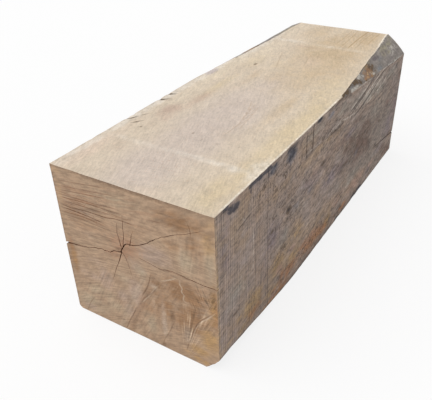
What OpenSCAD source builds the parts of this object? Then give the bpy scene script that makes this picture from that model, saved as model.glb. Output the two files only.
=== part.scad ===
// Squared oak beam: one boxed-heart piece, sawn from a log that was a little too small for it,
// so the round outside of the log is left as wane on the arrises, with drying checks in the wood.
// The beam lies on its underside along Y, its near end faces -Y, and Z is up.

/* [Sawn section] */
// Width between the two sawn sides
beam_w = 300; // [240:1:400]
// Depth between the underside and the sawn top
beam_h = 300; // [240:1:400]
// Length between the two crosscut ends
beam_l = 865; // [700:5:1500]

/* [Log] */
// Radius of the log's round outside, which the wane keeps
log_r = 160; // [130:1:400]
// How far the log's outside swells in and out along the beam
log_swell = 1.2; // [0:0.1:3]
// Length of one swell along the beam
swell_pitch = 190; // [120:5:400]

/* [Wane on the top right arris, widest at the far end] */
// Wane taken off the top face
top_right_level = 46; // [10:1:70]
// Wane taken off the right side
top_right_upright = 40; // [10:1:70]
// Length of that wane along the beam
top_right_run = 445; // [200:5:650]

/* [Wane on the top left arris, widest at the far end] */
// Wane taken off the top face
top_left_level = 26; // [5:1:50]
// Wane taken off the left side
top_left_upright = 11; // [5:1:50]
// Length of that wane along the beam
top_left_run = 560; // [200:5:650]

/* [Wane on the bottom right arris, widest at the near end] */
// Wane taken off the underside
bottom_right_level = 25; // [5:1:50]
// Wane taken off the right side
bottom_right_upright = 30; // [5:1:50]
// Length of that wane along the beam
bottom_right_run = 270; // [150:5:650]

/* [Wane on the bottom left arris, widest at the near end] */
// Wane taken off the underside
bottom_left_level = 7; // [4:1:50]
// Wane taken off the left side
bottom_left_upright = 6; // [4:1:50]
// Length of that wane along the beam
bottom_left_run = 110; // [80:5:650]

/* [Heart] */
// Heart of the tree on the near end, to the right of the middle
near_heart_x = -22; // [-40:1:40]
// Heart of the tree on the near end, above the underside
near_heart_z = 182; // [120:1:190]
// Heart of the tree on the far end, to the right of the middle
far_heart_x = -14; // [-40:1:40]
// Heart of the tree on the far end, above the underside
far_heart_z = 142; // [120:1:190]

/* [Drying checks] */
// Mouth of the main heart checks at the ends
main_mouth = 2.6; // [1:0.1:6]
// Depth of the main heart checks into the ends
main_depth = 70; // [20:1:150]
// Mouth of the fine heart checks at the ends
fine_mouth = 1.5; // [0.8:0.1:4]
// Depth of the fine heart checks into the ends
fine_depth = 32; // [10:1:80]
// Mouth of the long check in the left side
left_mouth = 6; // [2:0.1:10]
// Depth of the long check in the left side
left_depth = 48; // [15:1:80]
// Length of the long check in the left side, from the near end
left_run = 560; // [200:5:650]
// Mouth of the check in the right side
right_mouth = 4.5; // [2:0.1:10]
// Depth of the check in the right side
right_depth = 40; // [15:1:80]
// Length of the check in the right side, from the far end
right_run = 165; // [100:5:600]

/* [Hidden] */

near = -1;
far = 1;

// Arrises in order round the beam: side of X, side of Z, end with the widest wane,
// level wane, upright wane, run, phase of the swell
ARRISES = [
    [1, 1, far, top_right_level, top_right_upright, top_right_run, 5],
    [1, -1, near, bottom_right_level, bottom_right_upright, bottom_right_run, 60],
    [-1, -1, near, bottom_left_level, bottom_left_upright, bottom_left_run, 150],
    [-1, 1, far, top_left_level, top_left_upright, top_left_run, 205],
];
// How far the log's outline runs to each side of an arris, past its wane
arc_reach = 100;
// Spacing of the log's outlines, and how far the log runs past the ends
ring_pitch = 48;
overrun = 20;
rings = ceil((beam_l + 2 * overrun) / ring_pitch);
// Share of a check's mouth and depth that is left at its closed tip
tip = 0.15;
// How far the lips of a check stand out of the face that it is cut into
lip = 1;

// Paths of the checks on the near end, from the heart, as points to the right and up
left_edge = -beam_w / 2 - near_heart_x - overrun;
right_edge = beam_w / 2 - near_heart_x + overrun;
left_check = [[-2, 1], [-6, -9], [-28, -17], [-47, -20], [-88, -27], [left_edge, -37]];
right_check = [[-6, -9], [6, 11], [21, 15], [47, 28], [67, 44], [94, 60], [120, 72], [147, 86]];
low_check = [[40, -8], [69, -11], [98, -10], [129, -9], [right_edge, -5]];
down_check = [[-3, -6], [-14, -34], [-32, -74]];
fine_checks = [
    [[1, 6], [6, 38], [8, 60]],
    [[-2, 3], [-5, 24], [-6, 42]],
    [[12, 10], [20, 30], [24, 42]],
    [[-3, -8], [4, -18], [9, -36], [12, -57]],
];
// Height of the far end's main check where it runs out of the right side
far_check_z = 51;
// Paths of the checks on the far end, from the heart, seen from outside
far_edge = -beam_w / 2 + far_heart_x - overrun;
far_check = [[0, 0], [-34, -14], [-88, -52], [far_edge, far_check_z - far_heart_z]];
far_fine_checks = [
    [[2, 2], [30, 22], [52, 30]],
    [[-1, 3], [-10, 36], [-8, 58]],
    [[3, -3], [20, -40], [26, -62]],
];
// Rise of the two side checks over their length
left_rise = 22;
right_rise = 26;

function lerp(a, b, t) = a + (b - a) * t;

// Faces of a loft of ring outlines, each with the same number of points, closed by its two end outlines
function loft_faces(count, points) = concat(
    [[for (i = [0 : points - 1]) i]],
    [for (r = [0 : count - 2], i = [0 : points - 1])
        let (a = r * points + i, b = r * points + (i + 1) % points)
        each [[a, b + points, b], [a, a + points, b + points]]],
    [[for (i = [points - 1 : -1 : 0]) (count - 1) * points + i]]
);

// Share of its widest wane that an arris has at y, which is nothing at the end of its run
function wane_share(arris, y) = 1 - (beam_l / 2 - arris[2] * y) / arris[5];

// Outline of the log over one arris at y: a chord across the two wane widths, bulged to the log's round
function wane_outline(arris, y) =
    let (level = arris[3], upright = arris[4], chord = norm([level, upright]), half = chord / 2)
    let (corner = [arris[0] * beam_w / 2, (1 + arris[1]) * beam_h / 2])
    let (out = [arris[0] * upright, arris[1] * level] / chord, along = [out[1], -out[0]])
    let (swell = log_swell * sin(360 * y / swell_pitch + arris[6]))
    let (drop = level * upright / chord * wane_share(arris, y) + swell)
    let (middle = arris[0] * arris[1] * (upright * upright - level * level) / (2 * chord))
    [for (s = [-arc_reach, -half, -half / 2, 0, half / 2, half, arc_reach])
        let (bulge = max(0, half * half - s * s) / (2 * log_r))
        let (p = corner + out * (bulge - drop) + along * (s + middle))
        [p[0], y, p[1]]];

// Round log that the beam was sawn from, lofted through its outlines
module log_body() {
    outlines = [for (r = [0 : rings])
        let (y = lerp(-beam_l / 2 - overrun, beam_l / 2 + overrun, r / rings))
        [for (arris = ARRISES) each wane_outline(arris, y)]];
    polyhedron([for (o = outlines) each o], loft_faces(rings + 1, len(outlines[0])));
}

// Block between the four saw cuts and the two crosscuts
module sawn_block() {
    translate([-beam_w / 2, -beam_l / 2, 0]) cube([beam_w, beam_l, beam_h]);
}

// V-shaped drying check along a path on the XY plane, with its lips above the plane and its keel below
module check(path, mouth, depth, first = 1, last = tip) {
    end = len(path) - 1;
    sections = [for (i = [0 : end])
        let (run = path[min(i + 1, end)] - path[max(i - 1, 0)])
        let (side = [-run[1], run[0]] / norm(run), share = lerp(first, last, i / end))
        let (half = side * mouth * share / 2)
        [[path[i][0] + half[0], path[i][1] + half[1], lip],
         [path[i][0] - half[0], path[i][1] - half[1], lip],
         [path[i][0], path[i][1], -depth * share]]];
    polyhedron([for (s = sections) each s], loft_faces(end + 1, 3));
}

// Frames with X to the right and Y up on the faces of the beam, each seen from outside
module on_near_end() { translate([0, -beam_l / 2, 0]) rotate([90, 0, 0]) children(); }
module on_right_side() { translate([beam_w / 2, 0, 0]) rotate([90, 0, 90]) children(); }
module on_far_end() { translate([0, beam_l / 2, 0]) rotate([90, 0, 180]) children(); }
module on_left_side() { translate([-beam_w / 2, 0, 0]) rotate([90, 0, -90]) children(); }

// Star of checks round the heart on the near end
module near_end_checks() {
    on_near_end() translate([near_heart_x, near_heart_z]) {
        check(left_check, main_mouth, main_depth, last = 1);
        check(right_check, main_mouth, main_depth);
        check(low_check, fine_mouth, fine_depth, first = tip, last = 1);
        check(down_check, main_mouth, main_depth);
        for (path = fine_checks) check(path, fine_mouth, fine_depth);
    }
}

// Star of checks round the heart on the far end
module far_end_checks() {
    on_far_end() translate([-far_heart_x, far_heart_z]) {
        check(far_check, main_mouth, main_depth, last = 1);
        for (path = far_fine_checks) check(path, fine_mouth, fine_depth);
    }
}

// Long checks in the two sides, where a check of the end runs out
module side_checks() {
    left_z = near_heart_z + left_check[len(left_check) - 1][1];
    on_left_side() check([
        [beam_l / 2 + overrun, left_z],
        [beam_l / 2 - left_run * 0.4, left_z + left_rise * 0.6],
        [beam_l / 2 - left_run, left_z + left_rise]], left_mouth, left_depth);
    on_right_side() check([
        [beam_l / 2 + overrun, far_check_z],
        [beam_l / 2 - right_run / 2, far_check_z + right_rise / 2],
        [beam_l / 2 - right_run, far_check_z + right_rise]], right_mouth, right_depth);
}

// The beam: the part of the log between the saw cuts, less its drying checks
module beam() {
    color("#C6AD8B")
    difference() {
        intersection() {
            sawn_block();
            log_body();
        }
        near_end_checks();
        far_end_checks();
        side_checks();
    }
}

beam();
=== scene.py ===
import math
import bpy
import numpy as np
from mathutils import Matrix, Vector


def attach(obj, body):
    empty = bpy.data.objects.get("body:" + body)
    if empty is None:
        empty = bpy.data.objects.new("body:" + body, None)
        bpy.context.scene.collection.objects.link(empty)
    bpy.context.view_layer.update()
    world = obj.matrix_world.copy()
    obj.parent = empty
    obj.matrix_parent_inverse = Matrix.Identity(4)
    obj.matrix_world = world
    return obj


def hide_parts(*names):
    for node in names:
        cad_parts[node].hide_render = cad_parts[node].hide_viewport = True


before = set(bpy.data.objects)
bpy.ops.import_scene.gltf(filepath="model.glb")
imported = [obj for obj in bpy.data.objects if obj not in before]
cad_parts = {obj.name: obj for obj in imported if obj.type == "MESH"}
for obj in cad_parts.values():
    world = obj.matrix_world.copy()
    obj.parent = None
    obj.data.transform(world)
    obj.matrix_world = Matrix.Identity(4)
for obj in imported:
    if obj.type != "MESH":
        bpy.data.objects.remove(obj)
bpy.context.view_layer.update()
print("frame loaded:", sorted(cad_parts))

# Sizes are in millimetres along the beam from its near end, across it from its left side and up from the
# floor. They go to metres in the row frame when a mesh is made.
beam = {
    "width": 300, "depth": 300, "length": 865,
    "flatSteps": 70,          # mesh steps over a sawn face
    "arcSteps": 5,            # mesh steps over half an arris
    "stations": 230,          # mesh steps along the beam
    "logRadius": 260,         # round of the wane
    "heartNear": (128, 182),  # where the pith comes out of the near end
    "heartFar": (136, 142),   # and out of the far end
    "sharpAngle": 38,         # edges sharper than this stay sharp, in degrees
}
halfWidth, halfLength = beam["width"] / 2, beam["length"] / 2
materialNames = ["pale_sawn_oak", "weathered_sawn_oak", "oak_end_grain", "waney_log_surface",
                 "oak_check_wall"]
topFinish, sideFinish, endFinish, waneFinish, wallFinish = range(len(materialNames))
noiseLattice = (97, 89)  # primes, so that the noise repeats late


# Value noise from -1 to 1: random heights on a lattice, blended smoothly between the four nearest. Where it
# is used, the seeds and the whole numbers added to a place only keep one noise apart from another.
def softNoise(a, b, seed):
    rows, columns = noiseLattice
    height = np.random.default_rng(seed).uniform(-1, 1, noiseLattice)
    i, j = np.floor(a).astype(int), np.floor(b).astype(int)
    s, t = a - i, b - j
    s, t = s * s * (3 - 2 * s), t * t * (3 - 2 * t)
    i, nextI, j, nextJ = i % rows, (i + 1) % rows, j % columns, (j + 1) % columns
    low = height[i, j] * (1 - s) + height[nextI, j] * s
    high = height[i, nextJ] * (1 - s) + height[nextI, nextJ] * s
    return low * (1 - t) + high * t


# Octaves of the value noise, each half as strong and twice as fine as the one before.
def roughNoise(a, b, seed, octaves=3):
    weights = [0.5 ** k for k in range(octaves)]
    return sum(w * softNoise(a / w, b / w, seed + k) for k, w in enumerate(weights)) / sum(weights)


# A smooth path through given points: Catmull-Rom pieces, sampled evenly in each piece.
def smoothPath(points, steps):
    p = np.array(points, float)
    p = np.vstack([2 * p[0] - p[1], p, 2 * p[-1] - p[-2]])
    t = np.linspace(0, 1, steps, endpoint=False)[:, None, None]
    a, b, c, d = p[:-3], p[1:-2], p[2:-1], p[3:]
    bend, twist = 2 * a - 5 * b + 4 * c - d, 3 * b - 3 * c + d - a
    curve = b + (c - a) * t / 2 + bend * t ** 2 / 2 + twist * t ** 3 / 2
    return np.vstack([curve.swapaxes(0, 1).reshape(-1, p.shape[1]), p[-2]])


# The wane, read off the log's outside: for each arris the places along it and the widths lost there, on the
# face before it and on the face after it, going round top, right side, underside, left side. The chips are
# bites out of the arris: place, half length, width. A wane narrower than the bare width takes the finish of
# the sawn faces.
wane = {
    "topLeft": {
        "before": ((400, 450, 572, 652, 732, 812, 865), (0, 3, 6, 8, 9.5, 10.5, 11)),
        "after": ((400, 450, 572, 652, 732, 812, 865), (0, 7, 14, 18, 21.5, 24, 26)),
        "chips": ((283, 7, 4), (313, 6, 3.5), (187, 7, 3), (205, 5, 2.5), (96, 6, 2)),
        "bare": 14,
    },
    "topRight": {
        "before": ((400, 425, 480, 528, 573, 632, 676, 724, 774, 866),
                   (0, 1.5, 6, 10.5, 14, 21, 27, 30, 35, 46)),
        "after": ((420, 457, 504, 582, 645, 697, 777, 846, 870), (0, 4, 10, 15, 24, 26, 36, 39, 40)),
        "chips": ((347, 11, 2.4), (52, 10, 2), (238, 10, 2.5), (150, 14, 2)),
        "bare": 5.5,
    },
    "bottomRight": {
        "before": ((0, 31, 97, 146, 212, 285), (29, 26, 19, 13, 6, 0)),
        "after": ((0, 97, 212, 285), (25, 16, 5, 0)),
        "chips": ((588, 14, 2.5), (628, 16, 2.5), (492, 10, 2), (380, 8, 1.5)),
        "bare": 5.5,
    },
    "bottomLeft": {
        "before": ((0, 50, 110), (7, 4, 0)),
        "after": ((0, 50, 110), (6, 3, 0)),
        "chips": ((300, 12, 4), (640, 16, 5)),
        "bare": 5.5,
    },
}
corners = {"topLeft": (-halfWidth, beam["depth"]), "topRight": (halfWidth, beam["depth"]),
           "bottomRight": (halfWidth, 0), "bottomLeft": (-halfWidth, 0)}
# the ways along the top, right side, underside and left side
ways = np.array([[1, 0], [0, -1], [-1, 0], [0, 1]], float)
wear = {
    "rub": 1.3, "rubMean": 1.1, "rubSwing": 0.6, "rubPitch": 13,  # how far a sharp arris is rubbed off
    "waver": 0.07, "waverPitch": 34,                              # share by which the wane's widths waver
    "bulge": 0.2, "bulgeWidth": 9,                                # extra round of an arris about this narrow
    "lump": 0.045, "lumpMost": 2,                                 # lumps of the wane, as a share of its width
    "lumpPitch": 21, "lumpsAcross": 1.7,
}


# Widths lost at the stations: the read wane with a little waver, the rub and the chips, added as squares so
# that the larger one rules.
def lostWidth(outline, chips, y, seed):
    waver = roughNoise(y / wear["waverPitch"], 0 * y, seed)
    lost = np.interp(y, *outline) * (1 + wear["waver"] * waver)
    worn = roughNoise(y / wear["rubPitch"], 0 * y + 5, seed + 3)
    rub = wear["rub"] * (wear["rubMean"] + wear["rubSwing"] * worn)
    bites = sum(width * np.exp(-((y - place) / half) ** 4) for place, half, width in chips)
    return np.sqrt(lost ** 2 + rub ** 2 + bites ** 2)


# One ring of the beam at every station: from the middle of each arris over its arc, over the sawn flat and
# on to the middle of the next arris. An arc is the chord between the two lost widths, bulged out by the
# log's round.
def beamRings():
    arcSteps = beam["arcSteps"]
    y = np.linspace(0, beam["length"], beam["stations"] + 1)
    half = np.linspace(0, 1, arcSteps, endpoint=False)
    flat = np.linspace(0, 1, beam["flatSteps"], endpoint=False)
    s = np.concatenate([half - 1, half])
    arcs, ends, chords = [], [], []
    for k, (name, outline) in enumerate(wane.items()):
        before = lostWidth(outline["before"], outline["chips"], y, seed=11 * k)
        after = lostWidth(outline["after"], outline["chips"], y, seed=11 * k + 40)
        start = np.array(corners[name]) - ways[k - 1] * before[:, None]
        stop = np.array(corners[name]) + ways[k] * after[:, None]
        middle, along = (start + stop) / 2, (stop - start) / 2
        chord = 2 * np.linalg.norm(along, axis=1)
        out = np.stack([-along[:, 1], along[:, 0]], 1) / chord[:, None] * 2
        narrow = np.exp(-(chord / wear["bulgeWidth"]) ** 2)
        bulge = chord ** 2 / (8 * beam["logRadius"]) + wear["bulge"] * chord * narrow
        lumps = roughNoise(y[:, None] / wear["lumpPitch"], s * wear["lumpsAcross"] + 9 * k, seed=70 + k)
        lumps = lumps * np.minimum(chord * wear["lump"], wear["lumpMost"])[:, None]
        rise = (bulge[:, None] + lumps) * (1 - s ** 2)
        arcs.append(middle[:, None] + along[:, None] * s[:, None] + out[:, None] * rise[..., None])
        ends.append((start, stop))
        chords.append(chord)
    sides = []
    for k in range(4):
        following = (k + 1) % 4
        stop, start = ends[k][1][:, None], ends[following][0][:, None]
        straight = stop + (start - stop) * flat[:, None]
        sides += [arcs[k][:, arcSteps:], straight, arcs[following][:, :arcSteps]]
    ring = np.concatenate(sides, 1)
    ringY = np.broadcast_to(y[:, None], ring.shape[:2]) - halfLength
    return np.stack([ring[..., 0], ringY, ring[..., 1]], -1), np.array(chords)


# Washboard of the saw on the top, right side, underside and left side: pitch and lean of the ripples, how
# far they sway and over what lengths, then the heights of the ripples and of the slow swell, all away from
# the arrises.
sawn = {
    "pitch": (23, 17, 19, 17), "lean": (0.32, 0.03, -0.1, 0.03), "sway": (2.2, 1.6, 2, 1.6),
    "swayOver": ((60, 60), (70, 90), (70, 70), (70, 90)), "seed": (5, 8, 6, 10),
    "ripple": 0.16, "swell": 0.3, "swellAlong": 90, "swellAcross": 70, "fadeSteps": 3,
}
endCut = {"pitch": 13, "lean": 0.14, "sway": 2.5, "swayOver": 55, "ripple": 0.22,
          "sunk": 0.35, "swell": 0.5, "swellOver": 75, "fade": 0.04}


# Saw relief: how far a sawn face lies below its plane, as a sine washboard across the cut and a slow swell
# of noise.
def sawRelief(points, side):
    x, y, z = points[..., 0], points[..., 1], points[..., 2]
    upright = side % 2 == 1
    first, second = (y, z) if upright else (x, y)
    overFirst, overSecond = sawn["swayOver"][side]
    stir = roughNoise(first / overFirst, second / overSecond, sawn["seed"][side])
    leaned = y + sawn["lean"][side] * (z if upright else x)
    wash = np.sin(leaned * 2 * math.pi / sawn["pitch"][side] + sawn["sway"][side] * stir)
    swell = roughNoise(y / sawn["swellAlong"] + 3 * side, (x + z) / sawn["swellAcross"], seed=20 + side)
    return -sawn["ripple"] * (1 + wash) - sawn["swell"] * (1 + swell)


# The beam's skin: the rings, each sawn face lowered by its relief away from the arrises, closed by a grid
# over each end that blends the four sides of the first or last ring (a Coons patch) and has a washboard of
# its own.
def beamSkin():
    rings, chords = beamRings()
    count, size = rings.shape[:2]
    steps, arcSteps = size // 4, beam["arcSteps"]
    step = np.arange(steps)
    inward = np.minimum(step - arcSteps + 1, steps - arcSteps - step)
    reach = inward.clip(0, sawn["fadeSteps"]) / sawn["fadeSteps"]
    for k in range(4):
        part = slice(k * steps, (k + 1) * steps)
        normal = np.array([-ways[k][1], 0, ways[k][0]])
        rings[:, part] += (sawRelief(rings[:, part], k) * reach)[..., None] * normal
    index = np.arange(count * size).reshape(count, size)
    after = np.roll(index, -1, 1)
    quads = [np.stack([index[:-1], after[:-1], after[1:], index[1:]], -1).reshape(-1, 4)]
    # worn arrises take the finish of the face beside them, wide ones that of the wane
    place, side = np.arange(size) % steps, np.arange(size) // steps
    onArc = (place < arcSteps) | (place >= steps - arcSteps)
    arris = np.where(place < arcSteps, side, (side + 1) % 4)
    bare = np.array([outline["bare"] for outline in wane.values()])[arris]
    sawnFinish = np.where(side == 0, topFinish, sideFinish)
    finish = np.where(onArc & (chords[arris][:, :-1].T > bare), waneFinish, sawnFinish)
    finishes, points = [finish.reshape(-1)], [rings.reshape(-1, 3)]
    t = np.linspace(0, 1, steps + 1)
    u, v = np.meshgrid(t, t, indexing="ij")
    fade = np.minimum.reduce([u, 1 - u, v, 1 - v]).clip(0, endCut["fade"]) / endCut["fade"]
    used = count * size
    for end, row in ((-1, 0), (1, count - 1)):
        loop = np.concatenate([index[row], index[row][:1]])
        top, bottom = loop[:steps + 1], loop[2 * steps:3 * steps + 1][::-1]
        left, right = loop[3 * steps:], loop[steps:2 * steps + 1][::-1]
        at = points[0]
        blend = (at[bottom][:, None] * (1 - v)[..., None] + at[top][:, None] * v[..., None]
                 + at[left][None] * (1 - u)[..., None] + at[right][None] * u[..., None]
                 - at[bottom[0]] * ((1 - u) * (1 - v))[..., None] - at[bottom[-1]] * (u * (1 - v))[..., None]
                 - at[top[0]] * ((1 - u) * v)[..., None] - at[top[-1]] * (u * v)[..., None])
        x, z = blend[..., 0], blend[..., 2]
        sway = endCut["sway"] * roughNoise(x / endCut["swayOver"], z / endCut["swayOver"], seed=31)
        wash = np.sin((z - endCut["lean"] * x) * 2 * math.pi / endCut["pitch"] + sway)
        swell = 1 + roughNoise(x / endCut["swellOver"], z / endCut["swellOver"], seed=37)
        blend[..., 1] -= end * fade * (endCut["sunk"] + endCut["ripple"] * wash + endCut["swell"] * swell)
        grid = np.empty((steps + 1, steps + 1), int)
        grid[:, 0], grid[:, -1], grid[0, :], grid[-1, :] = bottom, top, left, right
        grid[1:-1, 1:-1] = used + np.arange((steps - 1) ** 2).reshape(steps - 1, -1)
        used += (steps - 1) ** 2
        points.append(blend[1:-1, 1:-1].reshape(-1, 3))
        cap = np.stack([grid[:-1, :-1], grid[1:, :-1], grid[1:, 1:], grid[:-1, 1:]], -1).reshape(-1, 4)
        quads.append(cap if end < 0 else cap[:, ::-1])
        finishes.append(np.full(len(cap), endFinish))
    return np.concatenate(points), np.concatenate(quads), np.concatenate(finishes)


# Drying checks: paths on a face of the beam, mouth, depth, the share of both at the first and the last
# point, and how far the keel leans up. The ends' paths are across and up, the sides' along and up.
drying = {
    "near": (
        (((126, 183), (122, 174), (108, 170), (96, 164), (78, 163), (55, 157), (33, 151), (0, 149),
          (-14, 147)), 2.0, 70, 1, 0.5),
        (((122, 173), (134, 193), (149, 197), (175, 210), (195, 226), (222, 242), (248, 254),
          (275, 268)), 2.1, 70, 1, 0.3),
        (((160, 176), (180, 174), (197, 171), (222, 175), (257, 173), (300, 174), (318, 175)),
         1.35, 32, 0.6, 1),
        (((125, 176), (114, 148), (96, 108)), 2.0, 70, 1, 0.3),
        (((129, 188), (131, 199), (134, 225), (136, 248)), 1.6, 32, 1, 0.4),
        (((125, 184), (121, 212), (123, 230)), 1.6, 32, 1, 0.3),
        (((143, 194), (148, 212), (153, 226)), 1.6, 32, 1, 0.3),
        (((125, 174), (132, 164), (137, 146), (140, 125)), 1.3, 32, 1, 0.2),
    ),
    "far": (
        (((136, 142), (170, 128), (224, 90), (300, 55), (318, 51)), 2.0, 70, 1, 1),
        (((134, 144), (106, 164), (84, 172)), 1.2, 32, 1, 0.15),
        (((137, 145), (146, 178), (144, 200)), 1.2, 32, 1, 0.15),
        (((133, 139), (116, 102), (110, 80)), 1.2, 32, 1, 0.15),
    ),
    "left": ((((-14, 146), (224, 158), (400, 163), (560, 167)), 4.4, 48, 1, 0.15, 9),),
    "right": ((((882, 50), (865, 51), (811, 60), (761, 67), (700, 77)), 5.4, 40, 1, 0.3),),
}
checkShape = {
    "lip": 1,                         # how far the lips stand out of the face that is cut
    "shoulder": 5, "neck": 0.5,       # how deep a check narrows, and to what share of its mouth
    "pathSteps": 7,                   # mesh steps between two points of a path
    "jitter": 1.5,                    # mesh steps of the path's waver
    "swing": 0.25, "swingStep": 1.3,  # share by which the mouth varies, and its mesh steps
}
# where a face's path lies: origin, the way across, the way up and the way out of the wood
faces = {
    "near": ((-halfWidth, -halfLength, 0), (1, 0, 0), (0, 0, 1), (0, -1, 0)),
    "far": ((-halfWidth, halfLength, 0), (1, 0, 0), (0, 0, 1), (0, 1, 0)),
    "left": ((-halfWidth, -halfLength, 0), (0, 1, 0), (0, 0, 1), (-1, 0, 0)),
    "right": ((halfWidth, -halfLength, 0), (0, 1, 0), (0, 0, 1), (1, 0, 0)),
}


# A check is a V along its path: two lips a little outside the face, two shoulders where it narrows and a
# keel deep in the wood, all shrinking towards a closed tip, with a small jitter where the fibres tore.
def checkWedge(face, path, mouth, depth, first, last, lean=0, seed=0):
    p = smoothPath(path, checkShape["pathSteps"])
    run = np.gradient(p, axis=0)
    side = np.stack([-run[:, 1], run[:, 0]], 1) / np.linalg.norm(run, axis=1)[:, None]
    t = np.linspace(0, 1, len(p))
    jitter = softNoise(t * len(p) / checkShape["jitter"], 0 * t, seed)
    p = p + side * (jitter * np.sin(math.pi * t))[:, None]
    share = first + (last - first) * t
    swing = softNoise(t * len(p) / checkShape["swingStep"], 0 * t + 3, seed)
    half = mouth / 2 * share * (1 + checkShape["swing"] * swing)
    keel = p + lean * share[:, None] * np.array([0, 1])
    waist = p + (keel - p) * checkShape["shoulder"] / depth
    neck = half * checkShape["neck"]
    lip, sunk = checkShape["lip"] + 0 * t, -checkShape["shoulder"] * share
    wide, narrow = side * half[:, None], side * neck[:, None]
    outline = ((p + wide, lip), (p - wide, lip), (waist - narrow, sunk), (keel, -depth * share),
               (waist + narrow, sunk))
    origin, across, up, out = (np.array(v, float) for v in faces[face])
    ring = np.stack([origin + q[:, :1] * across + q[:, 1:] * up + height[:, None] * out
                     for q, height in outline], 1)
    index = np.arange(ring.shape[0] * ring.shape[1]).reshape(ring.shape[:2])
    after = np.roll(index, -1, 1)
    quads = np.stack([index[:-1], after[:-1], after[1:], index[1:]], -1).reshape(-1, 4)
    caps = [index[0][::-1], index[-1]]
    if np.dot(np.cross(across, up), out) < 0:
        quads, caps = quads[:, ::-1], [c[::-1] for c in caps]
    return ring.reshape(-1, 3), quads.tolist() + [c.tolist() for c in caps]


# Puts points in millimetres and their polygons into a new object.
def meshFrom(name, points, polygons):
    mesh = bpy.data.meshes.new(name)
    mesh.from_pydata((points / 1000).tolist(), [], polygons)
    mesh.update()
    piece = bpy.data.objects.new(name, mesh)
    bpy.context.scene.collection.objects.link(piece)
    return piece


points, quads, finishes = beamSkin()
oakBeam = meshFrom("oak_beam", points, quads.tolist())
oakBeam.data.polygons.foreach_set("material_index", finishes.astype(np.int32))
for name in materialNames:
    made = bpy.data.materials.new(name)
    made.use_nodes = True
    oakBeam.data.materials.append(made)
print("skin:", len(points), "points")

cutters = []
for face, checks in drying.items():
    for number, check in enumerate(checks):
        wedge = checkWedge(face, *check, seed=100 + 7 * len(cutters))
        cutter = meshFrom(f"{face}_check_{number}", *wedge)
        for name in materialNames:
            cutter.data.materials.append(bpy.data.materials[name])
        walls = np.full(len(cutter.data.polygons), wallFinish, np.int32)
        cutter.data.polygons.foreach_set("material_index", walls)
        cut = oakBeam.modifiers.new(cutter.name, "BOOLEAN")
        cut.operation, cut.solver, cut.object, cut.material_mode = "DIFFERENCE", "MANIFOLD", cutter, "INDEX"
        cutters.append(cutter)
whole = oakBeam.data
evaluated = oakBeam.evaluated_get(bpy.context.evaluated_depsgraph_get())
oakBeam.data = bpy.data.meshes.new_from_object(evaluated)
oakBeam.modifiers.clear()
bpy.data.meshes.remove(whole)
for cutter in cutters:
    spent = cutter.data
    bpy.data.objects.remove(cutter)
    bpy.data.meshes.remove(spent)
oakBeam.data.polygons.foreach_set("use_smooth", np.ones(len(oakBeam.data.polygons), bool))
oakBeam.data.set_sharp_from_angle(angle=math.radians(beam["sharpAngle"]))
print("checks cut:", len(oakBeam.data.vertices), "points,", len(oakBeam.data.polygons), "faces")

spots = np.empty(len(oakBeam.data.vertices) * 3, np.float32)
oakBeam.data.vertices.foreach_get("co", spots)
x, y, z = spots.reshape(-1, 3).T.astype(float) * 1000
along, over = y + halfLength, x + halfWidth


# The strongest of soft patches: each one's strength times a bell over the distance from its middle in half
# sizes.
def patchField(a, b, patches):
    return np.max([strength * np.exp(-((a - midA) / halfA) ** 2 - ((b - midB) / halfB) ** 2)
                   for midA, midB, halfA, halfB, strength in patches], 0)


lineShape = {
    "pathSteps": 4,  # steps between two points of a line
    "reach": 10,     # how far from a line its offset is known
    "fade": 4,       # where it fades out inside that reach
    "taper": 14,     # and towards its two ends
    "farOff": 9.0,   # offset in widths where no line is near
}


# Thin lines: how many widths a point lies to one side of the nearest line, and that line's strength, which
# fades towards its two ends and two mesh steps away from it.
def lineField(a, b, lines):
    reach = lineShape["reach"]
    point = np.stack([a, b], -1)
    nearest, offset = np.full(len(a), float(reach)), np.full(len(a), lineShape["farOff"])
    power = np.zeros(len(a))
    for path, width, strength in lines:
        p = smoothPath(path, lineShape["pathSteps"])
        run = np.diff(p, axis=0)
        size = np.linalg.norm(run, axis=1)
        close = np.flatnonzero(((point > p.min(0) - reach) & (point < p.max(0) + reach)).all(1))
        share = (((point[close, None] - p[:-1]) * run).sum(-1) / size ** 2).clip(0, 1)
        gap = point[close, None] - p[:-1] - share[..., None] * run
        distance = np.linalg.norm(gap, axis=-1)
        pick = distance.argmin(1)
        row = np.arange(len(close))
        distance, gap, share = distance[row, pick], gap[row, pick], share[row, pick]
        side = np.sign(run[pick, 0] * gap[:, 1] - run[pick, 1] * gap[:, 0])
        travel = np.concatenate([[0], np.cumsum(size)])[pick] + share * size[pick]
        taper = (np.minimum(travel, size.sum() - travel) / lineShape["taper"]).clip(0, 1)
        fade = ((reach - distance) / lineShape["fade"]).clip(0, 1)
        won = distance < nearest[close]
        nearest[close[won]] = distance[won]
        offset[close[won]] = (side * distance / width)[won]
        power[close[won]] = (strength * taper * fade)[won]
    return offset, power


# Writes a face's marks to the mesh: patches as one value, lines as an offset and a strength. Where the mask
# is below 1 the face is plain, with weaker patches and no lines.
def setMarks(face, a, b, marks, mask):
    for kind, items in marks.items():
        if kind.endswith("Line"):
            offset, power = lineField(a, b, items)
            fields = {kind: offset, kind + "On": power * (mask >= 1)}
        else:
            fields = {kind: patchField(a, b, items) * mask}
        for name, values in fields.items():
            made = oakBeam.data.attributes.new(face + "_" + name, "FLOAT", "POINT")
            made.data.foreach_set("value", values.astype(np.float32))


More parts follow.
